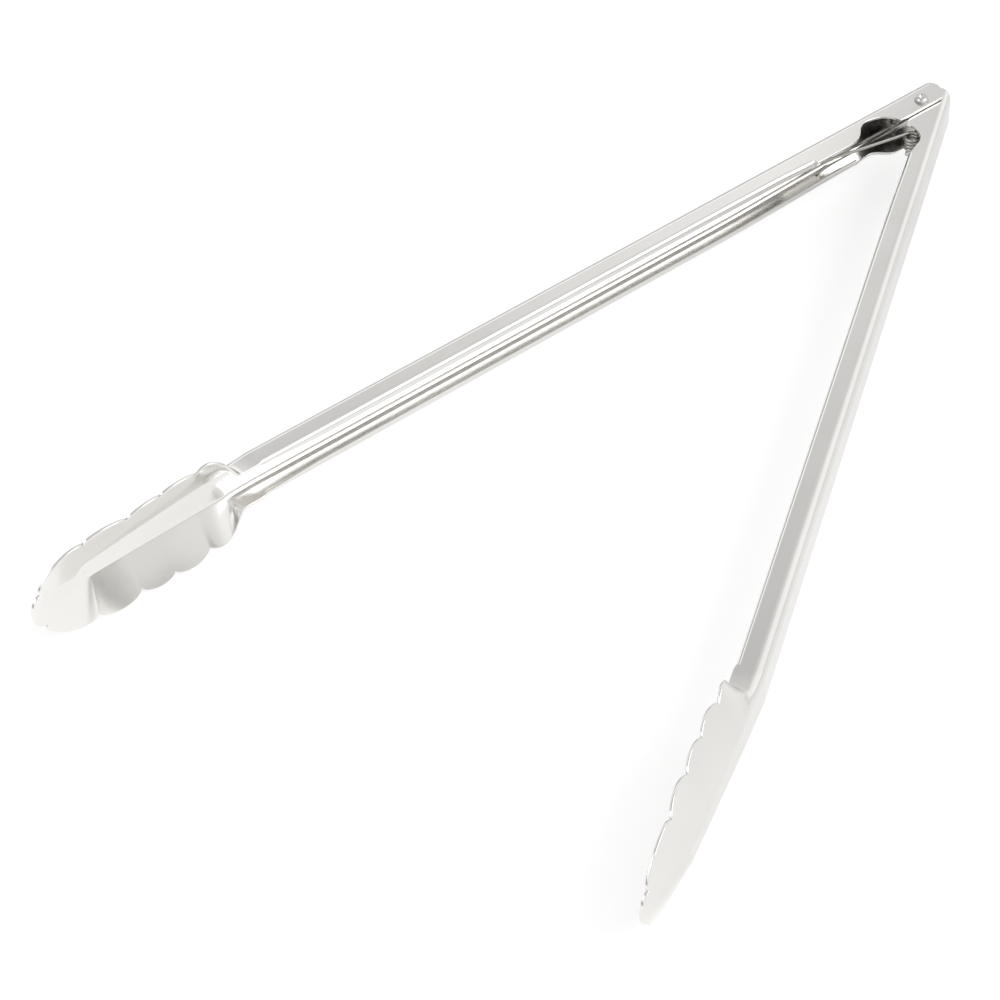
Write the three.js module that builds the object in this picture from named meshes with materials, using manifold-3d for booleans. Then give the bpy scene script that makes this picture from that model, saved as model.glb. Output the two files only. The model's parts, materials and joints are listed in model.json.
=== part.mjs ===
// Spring-loaded kitchen tongs: two pressed sheet-steel arms with scalloped scoops, joined by
// one rivet and pushed open by one torsion spring. Lengths are in millimetres and +Z is up.
// The tongs lie on their side, as they do on a worktop: the hinge axis is vertical and the
// scoops point to -Y. Both arms are the same pressing, and one of them is turned over: each has
// a cover flange, which lies outside at the hinge, and a tucked flange, which lies inside the
// other arm's cover flange.
import * as THREE from "three";
import { mergeVertices } from "three/addons/utils/BufferGeometryUtils.js";
import Module from "manifold-3d";

// The whole
const overallLength = 406; // back of the hinge to the tip of a scoop, along an arm
const openAngle = 33.6; // degrees between the arms at rest, pushed open by the spring
const sheet = 1.0; // thickness of the pressed steel
const runningGap = 0.3; // clearance between pieces that touch or turn on each other

// The handle channel, measured over its outer faces
const channelWidth = 15.4;
const channelCorner = 3.1; // outer bend radius between back and flange
const hemWidth = 5.0; // how far the safe edge is folded back inside the flange
const hemCut = 0.4; // length of the bevel where the folded edge starts and ends
const coverDepth = 9.4; // from the back to the folded edge of the cover flange
const coverRootDepth = 10.1; // the same where that fold starts
const coverHemStart = 56.6; // pivot to the start of the fold
const tuckedDepth = 8.95;
const tuckedRootDepth = 8.6;
const tuckedHemStart = 33.4;
const rootLength = 20; // length over which the root depths change to the full ones

// The hinge ears and the rivet
const hingeOverhang = 12.1; // pivot to the back end of each arm
const earDepth = 12.7; // from the back to the free edge of an ear
const earEnd = 15.2; // pivot to the front edge of an ear
const backCorner = 5.6; // rounding of each ear where the back ends
const coverSlant = 4.5; // the cover ear's end leans back by this much over its depth
const coverEarCorner = 1.6; // its rounding at the free edge
const tuckedEarCorner = 8.6; // more on the tucked ear, which turns clear of the other back
const outerPivotDepth = 8.6; // pivot to the back face of the outer arm
const innerPivotDepth = 9.9; // pivot to the back face of the inner arm
const joggleStart = 58; // from here the tucked flange widens to the full channel
const joggleLength = 12;
const rivetDiameter = 3.4;
const rivetHeadDiameter = 5.4;
const rivetHeadHeight = 1.25;
const rivetCrownDiameter = 3.3; // raised middle of the head
const rivetDimpleDiameter = 1.8;
const rivetDimpleDepth = 0.6;

// The raw edge between an ear and the fold: a notch for the spring, and on the cover flange a
// loose stretch after it
const looseDepth = 11.4; // from the back to the raw edge of the loose stretch
const notchCentre = 24.0; // pivot to the deepest point of both notches
const coverNotchEnd = 39; // pivot to the start of the loose stretch
// Points of each notch: shares of its length and of the ear's depth.
const coverNotchShares = [
  [0.021, 0.82], [0.071, 0.63], [0.193, 0.457], [0.353, 0.37], [0.508, 0.386],
  [0.605, 0.488], [0.702, 0.661], [0.84, 0.827],
];
const tuckedNotchShares = [
  [0.033, 0.85], [0.143, 0.661], [0.319, 0.512], [0.516, 0.48], [0.703, 0.543], [0.89, 0.606],
];
const tuckedRawShare = 0.638; // depth of the tucked notch where the fold starts

// The scoop, measured along the arm from the end of the channel
const scoopLength = 82.4;
const scoopHalfWidth = 16.5; // widest place where two scallops meet
const scoopDepth = 13.1; // back of the handle to the last place where two scallops meet
const neckLobeHeight = 18.2; // the first scallop stands out to here
const earlyBend = 7.6; // the back starts to bend this far before the end of the channel
const ridgeHalfWidth = 2.0; // flat strip of the back where the nose starts
const ridgeCorner = 4.2; // bend radius beside that strip
const tipCorner = 6; // bend radius of the back at the very tip
const noseStartShare = 0.672; // of the scoop's length
const noseSpread = 3; // the lines of the nose fan out from this short stretch of the back
const spineRise = 5.1; // how far the back has bent inwards where the nose starts
const noseRise = 0.6; // further rise over the short stretch
const tipShare = 1.05; // height of the tip under its scallop, as a share of scoopDepth
const lobeShares = [0.17, 0.18, 0.18, 0.22, 0.2]; // heights of the scallops, of their widths

// Where neighbouring scallops meet: shares of scoopLength, scoopHalfWidth and scoopDepth.
const meetShares = [
  [0.187, 0.985, 0.62],
  [0.358, 1, 0.71],
  [0.516, 0.92, 0.77],
  [0.716, 0.925, 0.815],
  [0.928, 0.41, 1],
];
// The first scallop, from the channel's end to the first of those places: shares of the
// length between them and of neckLobeHeight beyond the channel.
const neckLobeShares = [
  [0.05, 0.086], [0.13, 0.31], [0.22, 0.53], [0.32, 0.72], [0.46, 0.9], [0.64, 1], [0.82, 0.95],
];
const openShare = 0.06; // the channel's bends change to the scoop's over this much of its length

// The torsion spring
const wireDiameter = 1.5;
const coilRadius = 2.8; // to the middle of the wire
const coilTurns = 4; // whole turns, besides the part turn between the legs
const coilPitch = 1.95;
const coilForward = 16.6; // pivot to the coil's axis, along the tongs
const coilSide = 5.0; // the coil sits this far towards the inner arm
const legReach = 46; // pivot to the end of each leg
const legRise = 1; // the ends of the legs stand this far off the middle plane

// Counts
const bendSteps = 4;
const edgeSteps = 3;
const scallopSteps = 8;
const taperSteps = 3;
const joggleSteps = 4;
const holeSides = 32;
const stepsPerTurn = 8;
const wireSides = 5;

// Worked out from the sizes above
const degrees = Math.PI / 180;
const halfAngle = (openAngle / 2) * degrees;
const reach = overallLength - hingeOverhang;
const neck = reach - scoopLength;
const noseStart = neck + noseStartShare * scoopLength;
const bendStart = neck - earlyBend;
const channelHalf = channelWidth / 2;
const tuckedHalf = channelHalf - sheet - runningGap;
const cutOver = 3 * sheet; // how far a cutter runs past what it cuts
const { lerp, clamp, smoothstep } = THREE.MathUtils;

const coverFlange = { hemStart: coverHemStart, rawDepth: looseDepth, rootDepth: coverRootDepth, depth: coverDepth, half: channelHalf };
const tuckedFlange = { hemStart: tuckedHemStart, rawDepth: tuckedRawShare * earDepth, rootDepth: tuckedRootDepth, depth: tuckedDepth, half: tuckedHalf };

const wasm = await Module();
wasm.setup();

function steel(colour, roughness) {
  return new THREE.MeshStandardMaterial({ color: colour, roughness, metalness: 1 });
}

// A closed geometry as a solid, without the faces that merging has shrunk to a line.
function toSolid(geometry) {
  const bare = geometry.clone();
  bare.deleteAttribute("normal");
  bare.deleteAttribute("uv");
  const merged = mergeVertices(bare, 1e-4);
  const corners = merged.index.array;
  const kept = [];
  for (let i = 0; i < corners.length; i += 3) {
    const [a, b, c] = corners.slice(i, i + 3);
    if (a !== b && b !== c && c !== a) kept.push(a, b, c);
  }
  const vertProperties = merged.attributes.position.array;
  return new wasm.Manifold(new wasm.Mesh({ numProp: 3, vertProperties, triVerts: new Uint32Array(kept) }));
}

function toGeometry(solid) {
  const mesh = solid.getMesh();
  const geometry = new THREE.BufferGeometry();
  geometry.setAttribute("position", new THREE.BufferAttribute(mesh.vertProperties, 3));
  geometry.setIndex(new THREE.BufferAttribute(mesh.triVerts, 1));
  geometry.computeVertexNormals();
  return geometry;
}

// Triangles between rings with the same number of points, with or without end faces.
function ringsGeometry(rings, startFace, endFace) {
  const count = rings[0].length;
  const faces = [];
  for (let i = 0; i + 1 < rings.length; i++) {
    for (let j = 0; j < count; j++) {
      const a = i * count + j;
      const b = i * count + ((j + 1) % count);
      faces.push(a, b, a + count, b, b + count, a + count);
    }
  }
  faces.push(...startFace);
  faces.push(...endFace.map((k) => k + (rings.length - 1) * count));
  const geometry = new THREE.BufferGeometry().setFromPoints(rings.flat());
  geometry.setIndex(faces);
  return geometry;
}

// Outline of an arm
// A place on the arm is its distance along the arm from the pivot, its depth from the back's
// outer face towards the other arm, and its height off the middle plane.

// Depth of the back's outer face: straight handle, then bent in, then a little more.
function spineDepth(along) {
  const bent = clamp((along - bendStart) / (noseStart - bendStart), 0, 1);
  const nose = clamp((along - noseStart) / noseSpread, 0, 1);
  return spineRise * bent * (0.9 + 0.1 * bent) + noseRise * nose;
}

// Half the outer width of the channel on the side of one flange.
function channelHalfAt(along, flange) {
  return lerp(flange.half, channelHalf, smoothstep(along, joggleStart, joggleStart + joggleLength));
}

// Depth of a flange's free edge along the channel, before its notch is cut.
function flangeDepthAt(along, flange, hemmed) {
  if (along <= notchCentre) return earDepth;
  if (!hemmed && along <= flange.hemStart) return flange.rawDepth;
  return lerp(flange.rootDepth, flange.depth, smoothstep(along, flange.hemStart, flange.hemStart + rootLength));
}

// Cross-line square to the arm: hinge, handle, neck and the sides of the scoop.
function straightPlace(along, rim, lobe, hemmed) {
  const down = clamp((along - bendStart) / (noseStart - bendStart), 0, 1);
  const open = smoothstep(along, neck, neck + openShare * scoopLength);
  const half = along <= neck ? rim.height : channelHalf;
  return {
    spine: { along, depth: spineDepth(along) },
    rim,
    flat: lerp(half - channelCorner, ridgeHalfWidth, down),
    corner: lerp(channelCorner, ridgeCorner, open),
    open,
    lobe,
    hemmed,
  };
}

function channelPlace(along, flange) {
  const hemmed = along > flange.hemStart && along < neck;
  const rim = { along, height: channelHalfAt(along, flange), depth: flangeDepthAt(along, flange, hemmed) };
  return straightPlace(along, rim, 0, hemmed);
}

// Cross-line from the back to a place on the scallop line: past the start of the nose the
// lines fan out, until the last one runs straight ahead to the tip.
function scoopPlace(rim, lobe) {
  if (rim.along <= noseStart) return straightPlace(rim.along, rim, lobe, false);
  const round = (rim.along - noseStart) / (reach - noseStart);
  const along = noseStart + round * noseSpread;
  return {
    spine: { along, depth: spineDepth(along) },
    rim,
    flat: ridgeHalfWidth,
    corner: lerp(ridgeCorner, tipCorner, round),
    open: 1,
    lobe,
    hemmed: false,
  };
}

// All cross-lines on the side of one flange, from the hinge end to the tip.
function armPlaces(flange) {
  const stations = [-hingeOverhang, notchCentre];
  stations.push(tuckedHemStart, tuckedHemStart + hemCut);
  stations.push(coverHemStart, coverHemStart + hemCut);
  for (let k = 0; k <= joggleSteps; k++) {
    stations.push(joggleStart + (joggleLength * k) / joggleSteps);
  }
  for (let k = 1; k <= taperSteps; k++) {
    stations.push(lerp(joggleStart + joggleLength, coverHemStart + rootLength, k / taperSteps));
  }
  stations.push(bendStart, neck - hemCut, neck);
  const places = stations.map((along) => channelPlace(along, flange));

  const meets = meetShares.map(([length, width, depth]) => ({
    along: neck + length * scoopLength,
    height: width * scoopHalfWidth,
    depth: depth * scoopDepth,
  }));
  // The flange opens out into the first scallop.
  for (const [length, height] of neckLobeShares) {
    const rim = {
      along: lerp(neck, meets[0].along, length),
      height: lerp(channelHalf, neckLobeHeight, height),
      depth: lerp(flange.depth, meets[0].depth, length),
    };
    places.push(scoopPlace(rim, 0));
  }
  // The other scallops: each stands out from the straight line between two meeting places.
  for (let n = 0; n + 1 < meets.length; n++) {
    const [from, to] = [meets[n], meets[n + 1]];
    const width = Math.hypot(to.along - from.along, to.height - from.height);
    for (let k = 0; k < scallopSteps; k++) {
      const share = (1 - Math.cos((Math.PI * k) / scallopSteps)) / 2;
      const rim = {
        along: lerp(from.along, to.along, share),
        height: lerp(from.height, to.height, share),
        depth: lerp(from.depth, to.depth, share),
      };
      places.push(scoopPlace(rim, lobeShares[n] * width * bulge(share)));
    }
  }
  // Half of the scallop at the tip; the other half is its mirror image.
  const last = meets[4];
  for (let k = 0; k <= scallopSteps / 2; k++) {
    const turn = (Math.PI * k) / scallopSteps;
    const rim = {
      along: lerp(last.along, reach, Math.sin(turn)),
      height: k === scallopSteps / 2 ? 0 : last.height * Math.cos(turn),
      depth: scoopDepth * lerp(1, tipShare, Math.sin(turn)),
    };
    places.push(scoopPlace(rim, lobeShares[4] * last.height * bulge((1 - Math.cos(turn)) / 2)));
  }
  return places;
}

// Round outline of a scallop: 0 where scallops meet, 1 in the middle.
function bulge(share) {
  return Math.pow(4 * share * (1 - share), 0.65);
}

// Half of a cross-line: a flat stretch of the back, a bend, and a straight side that is
// tangent to the bend and runs through the rim place out to the free edge.
function crossLine(place) {
  const { spine, rim, flat, corner, open, lobe, hemmed } = place;
  const heading = Math.atan2(rim.height, rim.along - spine.along);
  const out = Math.hypot(rim.along - spine.along, rim.height) - flat;
  const rise = rim.depth - spine.depth;
  const side = Math.sqrt(out * out + (rise - corner) ** 2 - corner * corner);
  const turn = Math.atan2(rise - corner, out) + Math.atan2(corner, side);
  const at = (distance, lift) =>
    new THREE.Vector3(
      spine.depth + lift,
      -(spine.along + distance * Math.cos(heading)),
      rim.height === 0 ? 0 : distance * Math.sin(heading),
    );
  const alongSide = (run) =>
    at(
      flat + corner * Math.sin(turn) + run * Math.cos(turn),
      corner * (1 - Math.cos(turn)) + run * Math.sin(turn),
    );
  const points = [at(0, 0), at(flat, 0)];
  for (let k = 1; k <= bendSteps; k++) {
    const angle = (turn * k) / bendSteps;
    points.push(at(flat + corner * Math.sin(angle), corner * (1 - Math.cos(angle))));
  }
  const edge = side + lobe - (hemmed ? sheet : 0);
  points.push(alongSide(lerp(side - hemWidth, edge / 2, open)));
  points.push(alongSide(edge));
  return points;
}

// The pressed sheet as rings round its thickness: along the outer face from one free edge to
// the other, over the edge, and back along the inner face, one thickness away. Where the edge
// is folded, it turns a half circle and lies double on the inside of the flange.
function armRings() {
  const [upper, lower] = [coverFlange, tuckedFlange].map(armPlaces);
  const outer = upper.map((place, i) => {
    const below = crossLine(lower[i]).slice(1).reverse();
    return [...below.map((p) => new THREE.Vector3(p.x, p.y, -p.z)), ...crossLine(place)];
  });
  const ends = outer[0].length - 1;
  return upper.map((_, i) => {
    const line = outer[i];
    const before = outer[Math.max(i - 1, 0)];
    const after = outer[Math.min(i + 1, outer.length - 1)];
    const inward = line.map((point, j) => {
      const along = new THREE.Vector3().subVectors(after[j], before[j]);
      const across = new THREE.Vector3().subVectors(line[Math.min(j + 1, ends)], line[Math.max(j - 1, 0)]);
      const normal = new THREE.Vector3().crossVectors(across, along);
      if (i === outer.length - 1) normal.setZ(0);
      return normal.normalize();
    });
    const pushed = (j, depth) => line[j].clone().addScaledVector(inward[j], depth);
    const edgeOf = (j, next, place) => {
      const wall = new THREE.Vector3().subVectors(line[j], line[next]).normalize();
      const turned = [];
      for (let k = 1; k <= edgeSteps; k++) {
        const share = k / (edgeSteps + 1);
        const angle = Math.PI * share;
        turned.push(
          place.hemmed
            ? pushed(j, sheet * (1 - Math.cos(angle))).addScaledVector(wall, sheet * Math.sin(angle))
            : pushed(j, sheet * share),
        );
      }
      const double = place.hemmed ? 2 * sheet : sheet;
      return [...turned, pushed(j, double), pushed(next, double)];
    };
    const inside = [];
    for (let j = 1; j < ends; j++) inside.push(pushed(j, sheet));
    return [...line, ...edgeOf(ends, ends - 1, upper[i]), ...inside.reverse(), ...edgeOf(0, 1, lower[i]).reverse()];
  });
}

// The ring at the hinge end, filled between the outer and the inner face.
function hingeEndFace(ring) {
  const ends = 2 * (bendSteps + 3);
  const faces = [];
  const lastIndex = ring.length - 1;
  // Outer points 0 to ends face the inner points, which run back from ends to 0.
  const facing = (j) => ends + edgeSteps + 2 + (ends - j);
  for (let j = 1; j + 1 < ends; j++) {
    const [a, b, c, d] = [j, j + 1, facing(j), facing(j + 1)];
    faces.push(a, b, c, b, d, c);
  }
  // Each free edge is a fan round the outer point at its corner.
  const upper = [];
  for (let k = ends; k <= facing(ends - 1); k++) upper.push(k);
  for (let k = 0; k + 1 < upper.length; k++) faces.push(ends - 1, upper[k], upper[k + 1]);
  const lower = [];
  for (let k = facing(1); k <= lastIndex; k++) lower.push(k);
  lower.push(0);
  for (let k = 0; k + 1 < lower.length; k++) faces.push(1, lower[k], lower[k + 1]);
  return faces;
}

// A cutter: an outline in along and depth, pushed through the upper or the lower flange. The
// two kinds run a little past the middle plane, so that nothing is left between them.
function flangeCutter(shape, isUpper) {
  const depth = channelHalf + cutOver + sheet;
  const geometry = new THREE.ExtrudeGeometry(shape, { depth, bevelEnabled: false, curveSegments: 8 });
  geometry.translate(0, 0, isUpper ? -sheet : sheet - depth);
  return toSolid(geometry);
}

// What is cut away behind an ear: round at the back, and at the free edge either leaning with
// a small corner, or round.
function backCutter(isUpper) {
  const back = hingeOverhang;
  const far = hingeOverhang + cutOver;
  const slant = isUpper ? coverSlant : 0;
  const corner = isUpper ? coverEarCorner : tuckedEarCorner;
  const shape = new THREE.Shape();
  shape.moveTo(-cutOver, far);
  shape.lineTo(-cutOver, back - backCorner);
  shape.lineTo(0, back - backCorner);
  shape.absarc(backCorner, back - backCorner, backCorner, Math.PI, Math.PI / 2, true);
  shape.lineTo(earDepth - corner, back - slant);
  shape.absarc(earDepth - corner, back - slant - corner, corner, Math.PI / 2, 0, true);
  shape.lineTo(earDepth + cutOver, back - slant - corner);
  shape.lineTo(earDepth + cutOver, far);
  shape.closePath();
  return flangeCutter(shape, isUpper);
}

// The notch in front of an ear: a steep drop, a round floor, and a rise to the raw edge.
function notchCutter(isUpper) {
  const [shares, end, depth] = isUpper
    ? [coverNotchShares, coverNotchEnd, looseDepth]
    : [tuckedNotchShares, tuckedHemStart, tuckedFlange.rawDepth];
  const high = earDepth + cutOver;
  const shape = new THREE.Shape();
  shape.moveTo(high, -earEnd);
  shape.lineTo(earDepth, -earEnd);
  const line = shares.map(([length, rise]) => new THREE.Vector2(rise * earDepth, -lerp(earEnd, end, length)));
  shape.splineThru([...line, new THREE.Vector2(depth, -end)]);
  shape.lineTo(high, -end);
  shape.closePath();
  return flangeCutter(shape, isUpper);
}

// The rivet hole through both ears.
function holeCutter(pivotDepth) {
  const radius = rivetDiameter / 2 + runningGap;
  const hole = new THREE.CylinderGeometry(radius, radius, channelWidth + 2 * cutOver, holeSides);
  hole.rotateX(Math.PI / 2);
  hole.translate(pivotDepth, 0, 0);
  return toSolid(hole);
}

// The pressing before its rivet holes, with the cover flange on top.
function pressing() {
  const rings = armRings().reverse();
  let solid = toSolid(ringsGeometry(rings, [], hingeEndFace(rings.at(-1))));
  for (const isUpper of [true, false]) solid = solid.subtract(backCutter(isUpper)).subtract(notchCutter(isUpper));
  return solid;
}

// An arm with its pivot at the origin. Side is -1 for the outer arm and 1 for the inner one,
// which is turned over.
function armMesh(solid, pivotDepth, side, colour) {
  const geometry = toGeometry(solid.subtract(holeCutter(pivotDepth)));
  geometry.translate(-pivotDepth, 0, 0);
  if (side > 0) geometry.rotateY(Math.PI);
  const mesh = new THREE.Mesh(geometry, steel(colour, 0.28));
  mesh.rotation.z = side * halfAngle;
  return mesh;
}

// The rivet: a shank through all four ears and a crowned head with a rolled dimple at each end.
function rivetMesh() {
  const seat = channelHalf + runningGap;
  const shank = rivetDiameter / 2;
  const rim = rivetHeadDiameter / 2;
  const crown = rivetCrownDiameter / 2;
  const dimple = rivetDimpleDiameter / 2;
  const top = seat + rivetHeadHeight;
  const half = [
    [shank, seat],
    [rim, seat],
    [rim, seat + rivetHeadHeight * 0.25],
    [lerp(rim, crown, 0.4), seat + rivetHeadHeight * 0.5],
    [crown, seat + rivetHeadHeight * 0.6],
    [lerp(crown, dimple, 0.3), top - rivetHeadHeight * 0.1],
    [lerp(crown, dimple, 0.7), top],
    [dimple, top - rivetDimpleDepth * 0.2],
    [dimple * 0.6, top - rivetDimpleDepth * 0.85],
    [0, top - rivetDimpleDepth],
  ];
  const upper = half.map(([radius, height]) => new THREE.Vector2(radius, height));
  const lower = half.map(([radius, height]) => new THREE.Vector2(radius, -height)).reverse();
  const turned = new THREE.LatheGeometry([...lower, ...upper], holeSides);
  turned.rotateX(Math.PI / 2);
  const mesh = new THREE.Mesh(toGeometry(toSolid(turned)), steel(0xd2d2cf, 0.25));
  mesh.name = "pivot_rivet";
  return mesh;
}

// Where a point of an arm, given by along and depth, lies in the frame of the hinge.
function fromArm(pivotDepth, side, along, depth) {
  const local = new THREE.Vector3(-side * (depth - pivotDepth), -along, 0);
  return local.applyAxisAngle(new THREE.Vector3(0, 0, 1), side * halfAngle);
}

// The spring: a straight leg from the outer arm's back to the top of the coil, a coil that
// winds tighter as the arms close, and a straight leg from its foot to the inner arm's back.
function springMesh() {
  const centre = new THREE.Vector3(coilSide, -coilForward, 0);
  const wire = wireDiameter / 2;
  const rest = sheet + runningGap + wire;
  const outerTip = fromArm(outerPivotDepth, -1, legReach, rest);
  const innerTip = fromArm(innerPivotDepth, 1, legReach, rest);
  // Angle on the coil where a line from a tip touches it, on the given side.
  const touch = (tip, sign) => {
    const away = new THREE.Vector3().subVectors(tip, centre);
    return Math.atan2(away.y, away.x) + sign * Math.acos(coilRadius / away.length());
  };
  const start = touch(outerTip, -1);
  const end = touch(innerTip, 1);
  const part = (((start - end) % (2 * Math.PI)) + 2 * Math.PI) % (2 * Math.PI);
  const sweep = coilTurns * 2 * Math.PI + part;
  const rise = (coilPitch * sweep) / (2 * Math.PI);
  const steps = Math.round((sweep / (2 * Math.PI)) * stepsPerTurn);
  const path = [outerTip.setZ(-legRise)];
  for (let k = 0; k <= steps; k++) {
    const angle = start - (sweep * k) / steps;
    const [x, y] = [Math.cos(angle), Math.sin(angle)].map((c) => c * coilRadius);
    path.push(new THREE.Vector3(centre.x + x, centre.y + y, rise * (0.5 - k / steps)));
  }
  path.push(innerTip.setZ(legRise));

  const up = new THREE.Vector3(0, 0, 1);
  const rings = path.map((point, i) => {
    const into = new THREE.Vector3().subVectors(point, path[Math.max(i - 1, 0)]).normalize();
    const onward = new THREE.Vector3().subVectors(path[Math.min(i + 1, path.length - 1)], point).normalize();
    const heading = new THREE.Vector3().addVectors(into, onward).normalize();
    const sideways = new THREE.Vector3().crossVectors(up, heading).normalize();
    const lift = new THREE.Vector3().crossVectors(heading, sideways);
    const ring = [];
    for (let k = 0; k < wireSides; k++) {
      const angle = (2 * Math.PI * k) / wireSides;
      const off = sideways.clone().multiplyScalar(wire * Math.cos(angle));
      ring.push(point.clone().add(off).addScaledVector(lift, wire * Math.sin(angle)));
    }
    return ring;
  });
  const fan = [];
  for (let k = 1; k + 1 < wireSides; k++) fan.push([0, k, k + 1]);
  const startFace = fan.flatMap(([a, b, c]) => [a, c, b]);
  const geometry = ringsGeometry(rings, startFace, fan.flat());
  geometry.computeVertexNormals();

  // The least gap between one turn and another, on the points of the wire's surface.
  let least = Infinity;
  for (let i = 0; i < rings.length; i++) {
    for (let j = i + stepsPerTurn - 2; j < rings.length; j++) {
      for (const p of rings[i]) for (const q of rings[j]) least = Math.min(least, p.distanceTo(q));
    }
  }
  console.log("least gap of the spring to itself, mm:", least.toFixed(3));

  const mesh = new THREE.Mesh(geometry, steel(0xb4b2ad, 0.3));
  mesh.name = "torsion_spring";
  return mesh;
}

const hinge = new THREE.Group();
const pressed = pressing();
const outer = armMesh(pressed, outerPivotDepth, -1, 0xd6d6d4);
outer.name = "outer_arm";
const inner = armMesh(pressed, innerPivotDepth, 1, 0xd9d9d7);
inner.name = "inner_arm";
hinge.add(outer, inner, rivetMesh(), springMesh());

// The part's origin is under the middle of the whole, on the surface that it lies on.
hinge.updateMatrixWorld(true);
const box = new THREE.Box3().setFromObject(hinge, true);
const middle = box.getCenter(new THREE.Vector3());
hinge.position.set(-middle.x, -middle.y, -box.min.z);
console.log("hinge axis at, mm:", hinge.position.toArray().map((c) => c.toFixed(4)).join(" "));

const tongs = new THREE.Group();
tongs.add(hinge);
export default tongs;
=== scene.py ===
import json

import bmesh
import bpy
import numpy as np
from mathutils import Matrix


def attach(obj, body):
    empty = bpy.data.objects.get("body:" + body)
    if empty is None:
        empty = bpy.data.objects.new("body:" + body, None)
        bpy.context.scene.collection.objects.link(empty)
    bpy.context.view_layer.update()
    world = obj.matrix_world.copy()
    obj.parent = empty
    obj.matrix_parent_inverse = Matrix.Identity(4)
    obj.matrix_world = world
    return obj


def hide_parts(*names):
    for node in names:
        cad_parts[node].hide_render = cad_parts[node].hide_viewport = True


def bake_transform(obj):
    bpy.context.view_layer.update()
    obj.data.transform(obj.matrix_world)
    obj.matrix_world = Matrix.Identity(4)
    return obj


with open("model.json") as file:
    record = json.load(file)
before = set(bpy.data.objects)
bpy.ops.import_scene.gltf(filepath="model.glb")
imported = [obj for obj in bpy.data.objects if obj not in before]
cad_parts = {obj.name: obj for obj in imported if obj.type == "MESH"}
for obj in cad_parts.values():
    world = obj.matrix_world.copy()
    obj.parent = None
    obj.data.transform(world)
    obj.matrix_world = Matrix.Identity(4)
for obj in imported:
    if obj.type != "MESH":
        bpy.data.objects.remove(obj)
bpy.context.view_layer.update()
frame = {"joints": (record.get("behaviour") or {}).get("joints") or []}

# Spring-loaded steel tongs, seen from above with the hinge at the far corner.
# Lengths are in millimetres, and become metres when a mesh is made.
hingeAt = np.array(frame["joints"][0]["pos_m"])  # the rivet's axis
print("frame loaded, hinge at", hingeAt)


# Small shared helpers

def mixed(low, high, share):  # straight blend between two values
    return low + (high - low) * share


def eased(value, low, high):  # 0 up to low, 1 from high on, smooth between them
    share = np.clip((value - low) / (high - low), 0, 1)
    return share * share * (3 - 2 * share)


def throughPoints(value, points):
    # A smooth curve through a few points: a cubic between neighbours, whose slope at a point
    # is the slope between the two points beside it.
    x, y = np.array(points, float).T
    step = np.diff(y) / np.diff(x)
    slope = np.concatenate([step[:1], (y[2:] - y[:-2]) / (x[2:] - x[:-2]), step[-1:]])
    k = np.clip(np.searchsorted(x, value, side="right") - 1, 0, len(x) - 2)
    width = x[k + 1] - x[k]
    t = np.clip((value - x[k]) / width, 0, 1)
    return ((2 * t**3 - 3 * t**2 + 1) * y[k] + (t**3 - 2 * t**2 + t) * width * slope[k]
            + (3 * t**2 - 2 * t**3) * y[k + 1] + (t**3 - t**2) * width * slope[k + 1])


def unitVectors(vectors):  # the same directions, each one long
    return vectors / np.maximum(np.linalg.norm(vectors, axis=-1, keepdims=True), 1e-9)


def placed(right, up, back, place):
    # The matrix of a camera or lamp, which looks the opposite way to back.
    return Matrix([*np.column_stack([right, up, back, place]).tolist(), [0, 0, 0, 1]])


def gridFaces(rowCount, ringCount):
    # Four-sided faces between neighbouring rows of a grid, whose last column meets its first.
    row = np.arange(rowCount - 1)[:, None] * ringCount
    column = np.arange(ringCount)[None, :]
    onward = (column + 1) % ringCount
    return np.stack([row + column, row + onward, row + ringCount + onward,
                     row + ringCount + column], -1).reshape(-1, 4).tolist()


def shadeSmooth(mesh, sharpAngle):  # smooth all over, apart from real corners
    mesh.polygons.foreach_set("use_smooth", np.ones(len(mesh.polygons), bool))
    mesh.set_sharp_from_angle(angle=np.radians(sharpAngle))
    mesh.update()


joinWithin = 2e-6     # metres: points closer than this are joined
thinnestFace = 1e-7   # and thinner faces are taken out
sheetSharp = 35       # degrees: the sheet's faces that meet at more than this keep a sharp edge


def makePiece(name, points, faces, sharpAngle=sheetSharp):
    # A mesh from points in millimetres about the hinge and faces with any number of sides.
    # Points that lie on each other are joined, and the faces are turned outwards.
    mesh = bpy.data.meshes.new(name)
    mesh.from_pydata((points.reshape(-1, 3) / 1000 + hingeAt).tolist(), [], faces)
    work = bmesh.new()
    work.from_mesh(mesh)
    bmesh.ops.remove_doubles(work, verts=work.verts, dist=joinWithin)
    bmesh.ops.dissolve_degenerate(work, dist=thinnestFace, edges=work.edges)
    bmesh.ops.recalc_face_normals(work, faces=work.faces)
    work.to_mesh(mesh)
    work.free()
    shadeSmooth(mesh, sharpAngle)
    piece = bpy.data.objects.new(name, mesh)
    bpy.context.scene.collection.objects.link(piece)
    return piece


def cutWith(piece, cutter):
    # Takes the cutter's shape out of the piece, and throws the cutter away.
    cut = piece.modifiers.new("cut", "BOOLEAN")
    cut.operation, cut.solver, cut.object = "DIFFERENCE", "EXACT", cutter
    bpy.context.view_layer.update()
    whole = piece.evaluated_get(bpy.context.evaluated_depsgraph_get())
    result = bpy.data.meshes.new_from_object(whole)
    piece.modifiers.clear()
    piece.data = result
    bpy.data.objects.remove(cutter)


# Node helpers: each adds one node to a tree and gives its result

def rangedNode(tree, value, span, result, smooth=False):
    # Goes over from the first result to the second while the value goes through the span.
    node = tree.nodes.new("ShaderNodeMapRange")
    node.interpolation_type = "SMOOTHSTEP" if smooth else "LINEAR"
    for socket, number in zip(("From Min", "From Max", "To Min", "To Max"), (*span, *result)):
        node.inputs[socket].default_value = number
    tree.links.new(value, node.inputs["Value"])
    return node.outputs["Result"]


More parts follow.
